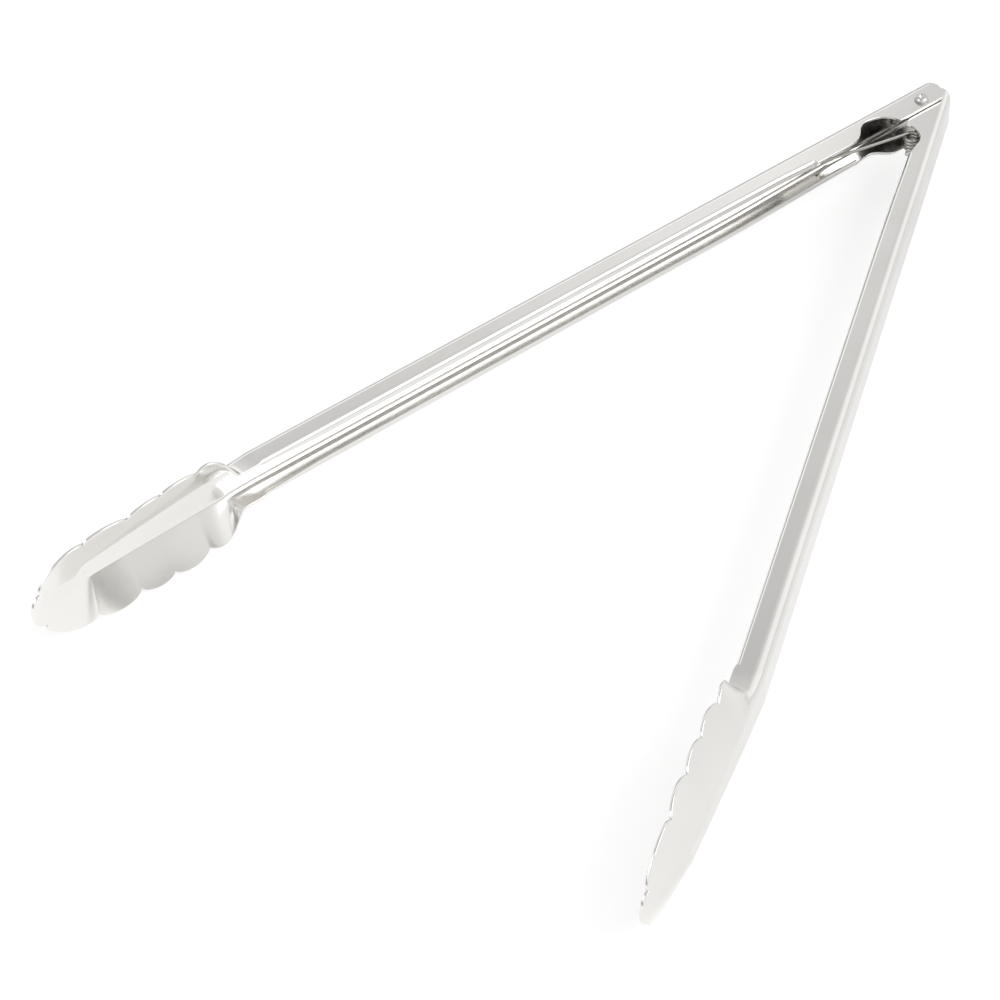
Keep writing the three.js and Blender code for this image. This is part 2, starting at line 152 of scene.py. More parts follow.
def mathNode(tree, kind, first, second):  # the sum or product of two values
    node = tree.nodes.new("ShaderNodeMath")
    node.operation = kind
    tree.links.new(first, node.inputs[0])
    tree.links.new(second, node.inputs[1])
    return node.outputs["Value"]


def dotNode(tree, vector, direction):  # how much a vector points along a direction
    node = tree.nodes.new("ShaderNodeVectorMath")
    node.operation = "DOT_PRODUCT"
    node.inputs[1].default_value = direction
    tree.links.new(vector, node.inputs[0])
    return node.outputs["Value"]


def mixNode(tree, share, first, second):  # one value going over into another
    node = tree.nodes.new("ShaderNodeMix")
    for socket, value in (("Factor", share), ("A", first), ("B", second)):
        tree.links.new(value, node.inputs[socket])
    return node.outputs["Result"]


# The camera, at the photograph's viewing angle

cameraPlace = dict(
    turn=37.323,          # degrees round the vertical
    lookDown=41.998,
    roll=-4.489,
    lens=87.775,
    filmWidth=36,
    distance=921.37,      # along the view from the camera to the hinge
    hingeRight=158.86,    # hinge to the right of the view's middle
    hingeUp=144.65,
    clip=(0.05, 20),      # metres
)


def makeCamera(c):
    # The camera stands back from the hinge along its own view, then left and down so that the
    # hinge comes to its place in the picture.
    turn, down, roll = np.radians([c["turn"], c["lookDown"], c["roll"]])
    level = np.array([np.cos(turn), np.sin(turn), 0])
    ahead = np.array([-np.sin(turn) * np.cos(down), np.cos(turn) * np.cos(down), -np.sin(down)])
    above = np.cross(level, ahead)
    right = level * np.cos(roll) + above * np.sin(roll)
    up = above * np.cos(roll) - level * np.sin(roll)
    place = hingeAt - (c["hingeRight"] * right + c["hingeUp"] * up + c["distance"] * ahead) / 1000
    lens = bpy.data.cameras.new("camera")
    lens.lens, lens.sensor_width = c["lens"], c["filmWidth"]
    lens.clip_start, lens.clip_end = c["clip"]
    view = bpy.data.objects.new("camera", lens)
    view.matrix_world = placed(right, up, -ahead, place)
    bpy.context.scene.collection.objects.link(view)
    bpy.context.scene.camera = view


makeCamera(cameraPlace)


# The arms: one pressing, used twice

# Along is the distance from the pivot towards the scoop, depth goes from the back's outer
# face towards the other arm, and height is off the middle plane. The cover flange lies
# outside at the hinge and the tucked flange inside the other arm's cover flange, so one arm
# has its cover flange on top and the other one underneath.
arm = dict(
    overallLength=406.0,
    openAngle=33.6,          # degrees between the arms
    sheet=1.0,
    gap=0.3,                 # running clearance between nested flanges
    edgeRadius=0.3,          # rounding of the raw cut edges
    channelWidth=15.4,
    channelCorner=3.1,       # outer radius of the channel's bends
    rivetHole=2.0,
    hingeOverhang=12.1,      # the arm goes on this far behind the pivot
    backCorner=5.6,
    earEnd=15.2,             # along: the ear ends and the notch starts
    earDepth=12.7,
    earSlant=4.2,            # the ear's end leans back by this much over its depth
    earBow=1.25,             # 1 is a straight lean, more is hollow near the back
    earCorner=1.6,
    joggleStart=40.0,        # here the tucked flange starts to widen to the full channel
    joggleEnd=100.0,
    lipHeight=2.8,           # the flanges' edges are turned in by this much
    lipBend=1.4,             # outer radius of that bend
    lipRounding=(0.25, 0.08, 0.05),  # of its raw edge: where it starts, and its two steps
    lipStop=8.5,             # the lip ends this far before the scoop
    lipFade=25.0,            # gets lower over this stretch
    lipLeft=1.75,            # down to this height
    rawEdgeOut=0.4,          # and from there the raw edge stands this much deeper
    rawEdgeEase=2.0,         # after this stretch
    scoopLength=82.4,
    scoopHalfWidth=16.5,
    scoopDepth=13.1,
    scoopOpening=5.0,        # the channel's bends become the ridge's over this stretch
    earlyBend=7.6,           # the back starts to bend in this far before the scoop
    ridgeHalfWidth=2.0,
    ridgeCorner=4.2,
    tipCorner=6.0,
    noseStart=366.9,
    noseSpread=3.0,          # the lines of the nose fan out from this short stretch of the back
    spineRise=5.1,           # the back bends in by this much along the scoop
    spineBow=0.1,            # and this share of it comes late
    noseRise=0.6,
    noseSlope=(23.2, 20.0),  # degrees of the nose's wall at its sides and at the tip
    noseEase=0.3,            # the share of the nose in which its wall takes that slope
    tipInset=1.8,            # the line under the tip's scallop ends this far inside the tip
    # the flange opens out into the first scallop: along from the channel's end, height
    neckLobe=((0, 7.7), (1.0, 8.5), (2.2, 10.6), (4.5, 14.3), (7.0, 16.8), (10.0, 18.1),
              (12.8, 17.7), (15.4, 16.25)),
    # where scallops meet: shares of the scoop's length, half width and depth
    meetShares=((0.187, 0.985, 0.62), (0.358, 1.0, 0.71), (0.516, 0.92, 0.77),
                (0.715, 0.905, 0.79), (0.936, 0.385, 0.95)),
    lobeShares=(0.18, 0.18, 0.18, 0.235, 0.15),  # how far scallops stand out, by their width
    lobeRoundness=0.65,      # 0.5 is a half ellipse, 1 a parabola
)
coverFlange = dict(
    tucked=False,
    lipStart=56.6,
    lipDepth=9.4,
    rootDepth=10.1,          # depth of the edge where the lip starts
    rootLength=20.0,
    # the raw edge from the ear through the notch to the loose flange: along, depth
    rawEdge=((15.2, 12.7), (15.7, 10.4), (16.9, 8.0), (19.8, 5.8), (23.6, 4.7), (27.3, 4.9),
             (29.6, 6.2), (31.9, 8.4), (35.2, 10.5), (39.0, 11.4), (45, 11.5), (56.6, 11.4)),
)
tuckedFlange = dict(
    tucked=True,
    lipStart=33.4,
    lipDepth=8.95,
    rootDepth=8.6,
    rootLength=30.0,
    rawEdge=((15.2, 12.7), (15.8, 10.8), (17.8, 8.4), (21.0, 6.5), (24.6, 6.1), (28.0, 6.9),
             (31.4, 7.7), (33.4, 8.1)),
)
# The outer arm's own tucked flange is cut out less.
outerTucked = dict(tuckedFlange, rawEdge=(
    (15.2, 12.7), (17.4, 12.6), (19.2, 11.9), (21.0, 10.2), (22.8, 8.3), (25.0, 7.3), (29.0, 7.4),
    (33.4, 8.1)))
outerArm = dict(side=-1, pivotDepth=8.6, upper=coverFlange, lower=outerTucked)
innerArm = dict(side=1, pivotDepth=9.9, upper=tuckedFlange, lower=coverFlange)

# How closely the arm's surface is divided
rowCounts = dict(
    roundedEnd=5,            # cross-lines in the rounded hinge end, and so on
    ear=22,
    notchCorner=8,
    earlyBend=7,
    neck=30,                 # up to the first meeting of two scallops
    scallop=20,
    tip=13,
)
rowSteps = dict(
    notchCorner=0.7,         # length of the corner between the ear and the notch
    notch=(40.0, 0.4),       # the notch's end, and the distance between cross-lines up to there
    root=(72.0, 1.0),        # the handle's root in the same way
    handle=6.0,
    lipEnd=0.06,             # between the two cross-lines where a lip starts or ends
    neckGrowth=1.3,          # 1 is even steps at the neck, more is closer ones at its start
)
columnCounts = dict(flat=4, bend=10, lowWall=9, highWall=12, edge=10)  # in half a cross-line

reach = arm["overallLength"] - arm["hingeOverhang"]
neck = reach - arm["scoopLength"]
bendStart = neck - arm["earlyBend"]
lipEnd = neck - arm["lipStop"]
noseStart = arm["noseStart"]


def spineDepth(along):
    # Straight along the handle, then bent in along the scoop, then a little more in the nose.
    bent = np.clip((along - bendStart) / (noseStart - bendStart), 0, 1)
    nose = np.clip((along - noseStart) / arm["noseSpread"], 0, 1)
    late = arm["spineBow"]
    return arm["spineRise"] * bent * (1 - late + late * bent) + arm["noseRise"] * nose


def bulge(share):  # round outline of a scallop: 0 at its ends and 1 in its middle
    return (4 * share * (1 - share)).clip(0) ** arm["lobeRoundness"]


def handleRows():
    # Where the cross-lines of hinge and handle stand: close together in the rounded end and
    # the notch, far apart where nothing changes, and in pairs where a lip starts or ends.
    start, earEnd, radius = -arm["hingeOverhang"], arm["earEnd"], arm["edgeRadius"]
    cornerEnd = earEnd + rowSteps["notchCorner"]
    (notchEnd, notchStep), (rootEnd, rootStep) = rowSteps["notch"], rowSteps["root"]
    endTurn = np.linspace(np.pi / 2, 0, rowCounts["roundedEnd"])
    rows = [
        start + radius * (1 - np.sin(endTurn)),
        np.linspace(start + radius, earEnd, rowCounts["ear"])[1:-1],
        mixed(earEnd, cornerEnd, np.linspace(0, 1, rowCounts["notchCorner"])[:-1] ** 2),
        np.arange(cornerEnd, notchEnd, notchStep),
        np.arange(notchEnd, rootEnd, rootStep),
        np.arange(rootEnd, bendStart, rowSteps["handle"]),
        np.linspace(bendStart, neck, rowCounts["earlyBend"]),
    ]
    for place in (coverFlange["lipStart"], tuckedFlange["lipStart"], lipEnd):
        rows.append([place, place + rowSteps["lipEnd"]])
    return np.unique(np.round(np.concatenate(rows), 3))


def armRows(flange):
    # For every cross-line of one half of an arm: along, height and depth of the free edge or
    # of the line on which the scallops stand, how far a scallop stands out there, and 1 where
    # the edge has a lip.
    along = handleRows()
    lipStart, close = flange["lipStart"], rowSteps["lipEnd"] / 6
    hasLip = ((along > lipStart + close) & (along < lipEnd + close)).astype(float)
    depth = mixed(flange["rootDepth"], flange["lipDepth"],
                  eased(along, lipStart, lipStart + flange["rootLength"]))
    depth += arm["rawEdgeOut"] * eased(along, lipEnd, lipEnd + arm["rawEdgeEase"])
    depth = np.where(along < lipStart + close, throughPoints(along, flange["rawEdge"]), depth)
    depth[along <= arm["earEnd"]] = arm["earDepth"]
    full = arm["channelWidth"] / 2
    height = np.full_like(along, full)
    if flange["tucked"]:
        narrow = full - arm["sheet"] - arm["gap"]
        height = mixed(narrow, full, eased(along, arm["joggleStart"], arm["joggleEnd"]))
    rows = [np.stack([along, height, depth, 0 * along, hasLip], 1)]

    # The flange opens out at the neck into the first scallop.
    meets = np.array(arm["meetShares"])
    meets = meets * [arm["scoopLength"], arm["scoopHalfWidth"], arm["scoopDepth"]] + [neck, 0, 0]
    share = np.linspace(0, 1, rowCounts["neck"])[1:-1] ** rowSteps["neckGrowth"]
    place = mixed(neck, meets[0, 0], share)
    rows.append(np.stack([
        place,
        throughPoints(place, np.array(arm["neckLobe"]) + [neck, 0]),
        mixed(flange["lipDepth"] + arm["rawEdgeOut"], meets[0, 2], share),
        0 * share, 0 * share], 1))
    # Each scallop stands out from the straight line between the two meeting places.
    count = rowCounts["scallop"]
    share = (1 - np.cos(np.pi * np.arange(count) / count)) / 2
    for start, end, lobeShare in zip(meets[:-1], meets[1:], arm["lobeShares"]):
        width = np.hypot(*(end - start)[:2])
        place = start + (end - start) * share[:, None]
        rows.append(np.column_stack([place, lobeShare * width * bulge(share), 0 * share]))
    # Half of the scallop at the tip; the other half is its mirror image.
    turn = np.linspace(0, np.pi / 2, rowCounts["tip"])
    along, height, depth = meets[-1]
    rows.append(np.stack([
        mixed(along, reach - arm["tipInset"], np.sin(turn)),
        height * np.cos(turn),
        depth + 0 * turn,
        arm["lobeShares"][-1] * height * bulge((1 - np.cos(turn)) / 2),
        0 * turn], 1))
    rows = np.concatenate(rows)
    rows[-1, 1] = 0
    return rows


def crossLines(rows):
    # Half of every cross-line, as points of along, depth and height: a flat stretch of the
    # back, a bend, and a straight wall that leaves the bend smoothly and runs through the
    # scallop line out to the free edge. Past the start of the nose the lines fan out, until
    # the last one runs straight ahead.
    rimAlong, rimHeight, rimDepth, lobe, hasLip = rows.T
    inNose = np.clip((rimAlong - noseStart) / (reach - noseStart), 0, 1)
    spineAlong = np.minimum(rimAlong, noseStart) + inNose * arm["noseSpread"]
    opened = eased(rimAlong, neck, neck + arm["scoopOpening"])
    bent = np.clip((rimAlong - bendStart) / (noseStart - bendStart), 0, 1)
    half = np.where(rimAlong <= neck, rimHeight, arm["channelWidth"] / 2)
    flat = mixed(half - arm["channelCorner"], arm["ridgeHalfWidth"], bent)
    corner = mixed(arm["channelCorner"], arm["ridgeCorner"], opened)
    corner = mixed(corner, arm["tipCorner"], inNose)

    heading = np.arctan2(rimHeight, rimAlong - spineAlong)
    out = np.hypot(rimAlong - spineAlong, rimHeight) - flat
    rise = rimDepth - spineDepth(spineAlong)
    wall = np.sqrt(out**2 + (rise - corner) ** 2 - corner**2)
    turn = np.arctan2(rise - corner, out) + np.arctan2(corner, wall)
    # In the nose the wall's slope changes evenly from the sides to the tip.
    slope = np.radians(mixed(*arm["noseSlope"], inNose))
    turn = mixed(turn, slope, eased(inNose, 0, arm["noseEase"]))
    wall = np.where(inNose > 0, (out - corner * np.sin(turn)) / np.cos(turn), wall)
    wall = (wall + lobe - mixed(arm["edgeRadius"], arm["lipBend"], hasLip))[:, None]

    # From here on a row is a cross-line and a column is a point of it.
    heading, flat, corner, turn = np.stack([heading, flat, corner, turn])[..., None]
    counts = columnCounts
    across = flat * np.linspace(0, 1, counts["flat"] + 1)
    angle = turn * np.linspace(0, 1, counts["bend"] + 1)[1:]
    low = np.linspace(0, 1, counts["lowWall"] + 1)[1:] / 2
    high = (1 + np.sin(np.linspace(0, np.pi / 2, counts["highWall"] + 1)[1:])) / 2
    run = wall * np.concatenate([low, high])
    distance = np.concatenate([across, flat + corner * np.sin(angle),
                               flat + corner * np.sin(turn) + run * np.cos(turn)], 1)
    lift = np.concatenate([0 * across, corner * (1 - np.cos(angle)),
                           corner * (1 - np.cos(turn)) + run * np.sin(turn)], 1)
    height = distance * np.sin(heading)
    height[rimHeight == 0] = 0
    return np.stack([spineAlong[:, None] + distance * np.cos(heading),
                     spineDepth(spineAlong)[:, None] + lift, height], -1)


def lipSection(along):
    # The lip at every cross-line, as distances out past the flange's last outer point and in
    # from its outer face. First round the bend, down the lip and over its raw edge; then up
    # inside it and round the bend's inside.
    bend, sheet = arm["lipBend"], arm["sheet"]
    start, inset, fall = arm["lipRounding"]
    height = mixed(arm["lipHeight"], arm["lipLeft"],
                   eased(along, lipEnd - arm["lipFade"], lipEnd))[:, None]
    same = np.zeros_like(height)
    turn = np.linspace(0, np.pi / 2, 6)[1:]
    outside = (
        same + [*bend * np.sin(turn), bend, bend - inset, bend - sheet / 2, bend - sheet + inset],
        np.concatenate([same + bend * (1 - np.cos(turn)), height - [start, fall, 0, fall]], 1))
    turn = np.radians([0, 30, 60])
    inside = (
        same + [bend - sheet, *(bend - sheet) * np.cos(turn)],
        np.concatenate([height - start, same + bend - (bend - sheet) * np.sin(turn)], 1))
    return outside, inside


def rawEdgeSection(pinch):
    # A square raw edge with two small roundings, in the same distances as the lip.
    radius, sheet = arm["edgeRadius"], arm["sheet"]
    share = np.arange(1, columnCounts["edge"]) / columnCounts["edge"]
    turn = np.pi * np.minimum(share, 1 - share)
    inset = radius * (1 - np.cos(turn))
    inset = np.where(share < 0.5, inset, sheet - inset)
    return radius * np.sin(turn), np.clip(inset, pinch, sheet - pinch)


def hingeEnd(depth):
    # How far the hinge end stands back at each depth: round behind the back, then leaning to
    # a small round corner at the free edge.
    back, ear, small = arm["backCorner"], arm["earDepth"], arm["earCorner"]
    behind = back - np.sqrt(np.maximum(back**2 - (back - depth) ** 2, 0))
    lean = arm["earSlant"] * np.clip((depth - back) / (ear - back), 0, 1) ** arm["earBow"]
    near = np.clip((depth - (ear - small)) / small, 0, 1)
    return np.where(depth < back, behind, lean) + small * (1 - np.sqrt(1 - near**2))


def armSurface(upper, lower):
    # The whole pressing as closed rings: the outer face from the lower free edge to the upper
    # one, over that edge, back along the inner face one thickness away, and over the lower
    # edge. Along the handle the free edges are turned in as lips.
    upperRows, lowerRows = armRows(upper), armRows(lower)
    lowerHalf, upperHalf = crossLines(lowerRows), crossLines(upperRows)
    outer = np.concatenate([lowerHalf[:, :0:-1] * [1, 1, -1], upperHalf], 1)
    middle, last = lowerHalf.shape[1] - 1, outer.shape[1] - 1
    # Inwards is square to the surface, and goes from the back towards the other arm.
    inward = np.cross(np.gradient(outer, axis=1), np.gradient(outer, axis=0))
    inward *= np.sign(inward[:, middle - 3:middle - 2, 1:2])
    inward[-1, middle] = inward[-1, middle - 1]
    inward[-1, :, 2] = 0
    inward = unitVectors(inward)

    sheet, radius, overhang = arm["sheet"], arm["edgeRadius"], arm["hingeOverhang"]
    along = upperRows[:, 0]
    back = np.clip((along + overhang) / radius, 0, 1)
    pinch = (radius * (1 - np.sqrt(1 - (1 - back) ** 2)))[:, None]  # the sheet's rounded end
    lipOutside, lipInside = lipSection(along)
    rawOut, rawIn = rawEdgeSection(pinch)

    def beyond(column, inner, out, offset):  # points past the flange's last column
        wallWay = unitVectors(outer[:, column] - outer[:, inner])[:, None]
        return (outer[:, column, None] + inward[:, column, None] * offset[..., None]
                + wallWay * out[..., None])

    def overEdge(column, inner, hasLip):
        share = hasLip[:, None]
        return beyond(column, inner, mixed(rawOut, lipOutside[0], share),
                      mixed(rawIn, lipOutside[1], share))

    def innerFace(columns, inner, hasLip):
        # One thickness inside the outer face. With a lip, its inside takes the first places
        # and the others of the wall's outer part move on.
        plain = outer[:, columns] + inward[:, columns] * (sheet - pinch)[..., None]
        lip = beyond(columns[0], inner, *lipInside)
        count = columnCounts["highWall"] + 1
        left = np.round(np.linspace(0, count - 1, count - lip.shape[1])).astype(int)
        withLip = np.concatenate([lip, plain[:, left]], 1)
        plain[:, :count] = mixed(plain[:, :count], withLip, hasLip[:, None, None])
        return plain

    upperLip, lowerLip = upperRows[:, 4], lowerRows[:, 4]
    columns = np.arange(last + 1)
    rings = np.concatenate([
        outer + inward * pinch[..., None],
        overEdge(last, last - 1, upperLip),
        innerFace(columns[:middle - 1:-1], last - 1, upperLip),
        innerFace(columns[:middle], 1, lowerLip)[:, ::-1],
        overEdge(0, 1, lowerLip)[:, ::-1]], 1)
    fade = np.clip(1 - (along + overhang) / (overhang - 1), 0, 1)
    rings[..., 0] += hingeEnd(rings[..., 1]) * fade[:, None]
    return rings, last + 1


def fromArm(kind, along, depth, height):
    # A place on an arm as a place about the hinge: along and depth are turned by half of the
    # opening, to the arm's own side.
    half = np.radians(arm["openAngle"] / 2)
    away = depth - kind["pivotDepth"]
    return np.stack([kind["side"] * (along * np.sin(half) - away * np.cos(half)),
                     -along * np.cos(half) - away * np.sin(half), height], -1)


def makeArm(name, kind, material):
    # The rings joined by faces, with the rivet's hole through both ears.
    rings, outerCount = armSurface(kind["upper"], kind["lower"])
    rowCount, ringCount = rings.shape[:2]
    faces = gridFaces(rowCount, ringCount)
    # The hinge end: a strip between the outer and the inner face, and one face at each edge.
    edge = columnCounts["edge"]
    innerLast = 2 * outerCount + edge - 2
    for k in range(outerCount - 1):
        faces.append([k, k + 1, innerLast - k - 1, innerLast - k])
    faces.append(list(range(outerCount - 1, outerCount + edge)))
    faces.append(list(range(ringCount - edge, ringCount)) + [0])
    piece = makePiece(name, fromArm(kind, *np.moveaxis(rings, -1, 0)), faces)

    sides, half = 48, 12.0  # of the drill, which is twice this half long
    angle = np.linspace(0, 2 * np.pi, sides, endpoint=False)
    ring = arm["rivetHole"] * np.stack([np.cos(angle), np.sin(angle)], 1)
    drill = np.stack([np.column_stack([ring, np.full(sides, z)]) for z in (-half, half)])
    drillFaces = gridFaces(2, sides) + [list(range(sides))[::-1], list(range(sides, 2 * sides))]
    cutWith(piece, makePiece("drill", drill, drillFaces))
    piece.data.materials.clear()
    piece.data.materials.append(material)
    shadeSmooth(piece.data, sheetSharp)
    return piece


# The rivet: a shank through all four ears, with a rolled and dimpled head at each end

rivet = dict(
    shankRadius=1.7,
    seatGap=0.05,            # between a head and the ear under it
    headRadius=2.75,
    headHeight=1.6,
    # the head's side, from the ear up: in from the head's radius, height
    rim=((0, 0), (0.08, 0.25), (0.25, 0.7), (0.55, 1.1)),
    crownRadius=1.85,
    crownFlatness=0.8,
    crownOverlap=0.1,        # of the rolled crown over the side and the dimple
    crownPoints=14,
    dimpleRadius=1.1,
    dimpleDepth=1.15,
    dimpleEase=(-0.45, 0.9),  # shares of the way in between which it gets deeper
    dimplePoints=7,
    dimpleStart=0.12,        # share of the way in of the first point after the crown
    sides=96,
    sharpAngle=60,
)


def makeRivet(material):
    # A profile of radius and height turned round the hinge's axis: up the head's side, over
    # the crown, and down into the dimple.
    r = rivet
    seat = arm["channelWidth"] / 2 + r["seatGap"]
    top = seat + r["headHeight"]
    side = np.array(r["rim"]) * [-1, 1] + [r["headRadius"], seat]
    middle = (r["crownRadius"] + r["dimpleRadius"]) / 2 + r["crownOverlap"]
    radius = (r["crownRadius"] - r["dimpleRadius"]) / 2 + r["crownOverlap"]
    turn = np.linspace(0, np.pi, r["crownPoints"])
    crown = np.stack([middle + radius * np.cos(turn),
                      top + r["crownFlatness"] * radius * (np.sin(turn) - 1)], 1)
    share = np.linspace(r["dimpleStart"], 1, r["dimplePoints"])
    dimple = np.stack([r["dimpleRadius"] * (1 - share),
                       top - r["dimpleDepth"] * eased(share, *r["dimpleEase"])], 1)
    half = np.concatenate([[(r["shankRadius"], seat)], side, crown, dimple])
    profile = np.concatenate([half[::-1] * [1, -1], half])
    angle = np.linspace(0, 2 * np.pi, r["sides"], endpoint=False)
    points = np.stack([profile[:, :1] * np.cos(angle), profile[:, :1] * np.sin(angle),
                       profile[:, 1:] * np.ones_like(angle)], -1)
    piece = makePiece("rivet", points, gridFaces(len(profile), r["sides"]), r["sharpAngle"])
    piece.data.materials.append(material)
    return piece


# The spring: a leg along each arm's back and a coil between the ears

spring = dict(
    wireRadius=0.6,
    endRounding=0.25,        # of the wire's cut ends, by its radius
    coilRadius=2.3,
    coilTurns=4,
    coilPitch=1.35,
    coilForward=16.6,        # the coil's middle, from the rivet towards the scoops
    coilSide=5.0,            # and towards the inner arm
    coilPoints=200,
    outerTip=(46.0, 2.05, -2.0),  # along, depth and height of the end on the outer arm
    innerTip=(46.0, 2.05, 2.0),
    legPoints=40,
    sides=20,
    sharpAngle=50,
    blendReach=400.0,        # how far the coil's span reaches to either side of its middle
)


def wireTube(name, path, material):
    # A round wire: a circle carried along the path, square to it, with a rounded end.
    way = unitVectors(np.gradient(path, axis=0))
    sideways = unitVectors(np.cross([0.0, 0.0, 1.0], way))
    lift = np.cross(way, sideways)
    count, radius, rounding = spring["sides"], spring["wireRadius"], spring["endRounding"]
    angle = np.linspace(0, 2 * np.pi, count, endpoint=False)[None, :, None]
    circle = (sideways[:, None] * np.cos(angle) + lift[:, None] * np.sin(angle)) * radius
    bevel = radius * rounding
    rings = np.concatenate([path[:1, None] - way[:1, None] * bevel + circle[:1] * (1 - rounding),
                            path[:, None] + circle,
                            path[-1:, None] + way[-1:, None] * bevel + circle[-1:] * (1 - rounding)])
    lastRing = (len(rings) - 1) * count
    faces = gridFaces(len(rings), count)
    faces += [list(range(count))[::-1], list(range(lastRing, lastRing + count))]
    piece = makePiece(name, rings, faces, spring["sharpAngle"])
    piece.data.materials.append(material)
    return piece


def makeSpring(material):
    # The coil winds down from the outer arm's leg to the inner arm's, and each leg leaves it
    # along the line that touches the coil.
    s = spring
    radius = s["coilRadius"]
    centre = np.array([s["coilSide"], -s["coilForward"], 0.0])
    tips = [fromArm(outerArm, *s["outerTip"]), fromArm(innerArm, *s["innerTip"])]
    touch = []
    for tip, sign in zip(tips, (-1, 1)):
        away = (tip - centre)[:2]
        touch.append(np.arctan2(away[1], away[0]) + sign * np.arccos(radius / np.hypot(*away)))
    sweep = s["coilTurns"] * 2 * np.pi + (touch[0] - touch[1]) % (2 * np.pi)
    drop = s["coilPitch"] * sweep / (2 * np.pi)
    share = np.linspace(0, 1, s["coilPoints"])
    angle = touch[0] - sweep * share
    coil = centre + np.stack([radius * np.cos(angle), radius * np.sin(angle), drop * (0.5 - share)], 1)
    share = np.linspace(0, 1, s["legPoints"])[:, None]
    coilPiece = wireTube("spring_coil", coil, material)
    outerLeg = wireTube("spring_leg_outer", mixed(tips[0], coil[0], share), material)
    innerLeg = wireTube("spring_leg_inner", mixed(coil[-1], tips[1], share), material)

    # Each piece's placement is baked into its mesh.
    wide = np.array([s["blendReach"], 0, 0])
    for piece, start, end in ((coilPiece, centre - wide, centre + wide),
                              (outerLeg, tips[0], 2 * coil[0] - tips[0]),
                              (innerLeg, 2 * coil[-1] - tips[1], tips[1])):
        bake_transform(piece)
    return [coilPiece, outerLeg, innerLeg]


# Steel: bright sheet for the arms, greyer metal for the rivet, and for the wire a darker tint that is
# painted shade, standing in for the shade round the coil between the ears

# Stretch is the rolling lines' width by their length.
sheetSteel = dict(tint=(0.83, 0.818, 0.796), roughness=0.14, stretch=0.02)
rivetSteel = dict(tint=(0.62, 0.61, 0.59), roughness=0.16, stretch=1.0)
# painted shade: the wire's tint is made dark for the shade that the coil sits in
wireSteelWithPaintedShade = dict(tint=(0.5, 0.49, 0.46), roughness=0.22, stretch=0.4)
surface = dict(
    lines=dict(size=2600, detail=3),
    clouds=dict(size=55, detail=3, stretch=0.35),
    waves=dict(size=26, detail=1, stretch=0.3),
    noiseSpan=(0.3, 0.7),    # the part of the noise that is used
    darkerTint=0.955,        # where the clouds are darkest, by the tint
    cloudRoughness=(0.85, 1.1),
    lineRoughness=(-0.012, 0.02),
    waveBump=(0.25, 0.0004),  # strength, and height in metres
    lineBump=(0.12, 0.00002),
)


def steelMaterial(name, steel, turn=0.0):
    # Bright steel: fine rolling lines that lie turned by so many degrees, faint cloudy
    # changes of polish and of tint, and a slight waviness from the press.
    material = bpy.data.materials.new(name)
    material.use_nodes = True
    tree, s = material.node_tree, surface
    nodes, links = tree.nodes, tree.links
    shader = nodes["Principled BSDF"]
    shader.inputs["Metallic"].default_value = 1.0
    place = nodes.new("ShaderNodeTexCoord").outputs["Object"]

    def pattern(size, detail, stretch):
        mapping = nodes.new("ShaderNodeMapping")
        mapping.inputs["Rotation"].default_value = (0, 0, np.radians(turn))
        mapping.inputs["Scale"].default_value = (1.0, stretch, 1.0)
        noise = nodes.new("ShaderNodeTexNoise")
        noise.inputs["Scale"].default_value = size
        noise.inputs["Detail"].default_value = detail
        links.new(place, mapping.inputs["Vector"])
        links.new(mapping.outputs["Vector"], noise.inputs["Vector"])
        return noise.outputs["Fac"]

    def ranged(value, low, high):
        return rangedNode(tree, value, s["noiseSpan"], (low, high))

    def bump(height, strengthAndHeight, under=None):
        node = nodes.new("ShaderNodeBump")
        for socket, number in zip(("Strength", "Distance"), strengthAndHeight):
            node.inputs[socket].default_value = number
        links.new(height, node.inputs["Height"])
        if under:
            links.new(under, node.inputs["Normal"])
        return node.outputs["Normal"]

    lines = pattern(**s["lines"], stretch=steel["stretch"])
    clouds, waves = pattern(**s["clouds"]), pattern(**s["waves"])

    colour = nodes.new("ShaderNodeMix")
    colour.data_type = "RGBA"
    colour.inputs["A"].default_value = (*[c * s["darkerTint"] for c in steel["tint"]], 1)
    colour.inputs["B"].default_value = (*steel["tint"], 1)
    links.new(ranged(clouds, 0, 1), colour.inputs["Factor"])
    links.new(colour.outputs["Result"], shader.inputs["Base Color"])

    cloudy = ranged(clouds, *[steel["roughness"] * share for share in s["cloudRoughness"]])
    rough = mathNode(tree, "ADD", cloudy, ranged(lines, *s["lineRoughness"]))
    links.new(rough, shader.inputs["Roughness"])
    links.new(bump(lines, s["lineBump"], bump(waves, s["waveBump"])), shader.inputs["Normal"])
    return material


# The studio: a pale floor, a room of soft tones, and two large soft lamps

# Each side of the room is its tone at some heights of a direction, 0 at the horizon and 1
# straight up.
studio = dict(
    floorSize=3.0,
    floorTone=0.8,
    seenTone=0.5,             # the floor's colour for the camera
    seenGlow=0.58,            # and the light that the camera sees on top of it
    mirrorGlow=(0.06, 0.32),  # light added in the steel, at the back right and the front left
    mirrorSpan=(-0.2, 0.28),  # metres, from the one to the other
    behind=((0.2, 0.78), (0.5, 0.75), (0.8, 0.73)),
    brightSide=((0.12, 0.84), (0.36, 1.08), (0.9, 1.0)),
    brightTurn=19.0,          # degrees: the bright side's middle
    brightFade=(0.0, 0.35),
    darkSide=((0.22, 0.45), (0.46, 1.16), (0.53, 1.16), (0.67, 0.62)),
    darkTurn=116.5,           # degrees: the dark side is the half of the room from here on
    darkFade=(-0.012, 0.018),
)
lamps = (
    dict(name="soft box, right", place=(1.15, 0.4, 1.1), width=1.3, height=0.9, power=7.5),
    dict(name="soft box, front", place=(-0.9, -1.2, 1.2), width=0.9, height=0.7, power=3.5),
)


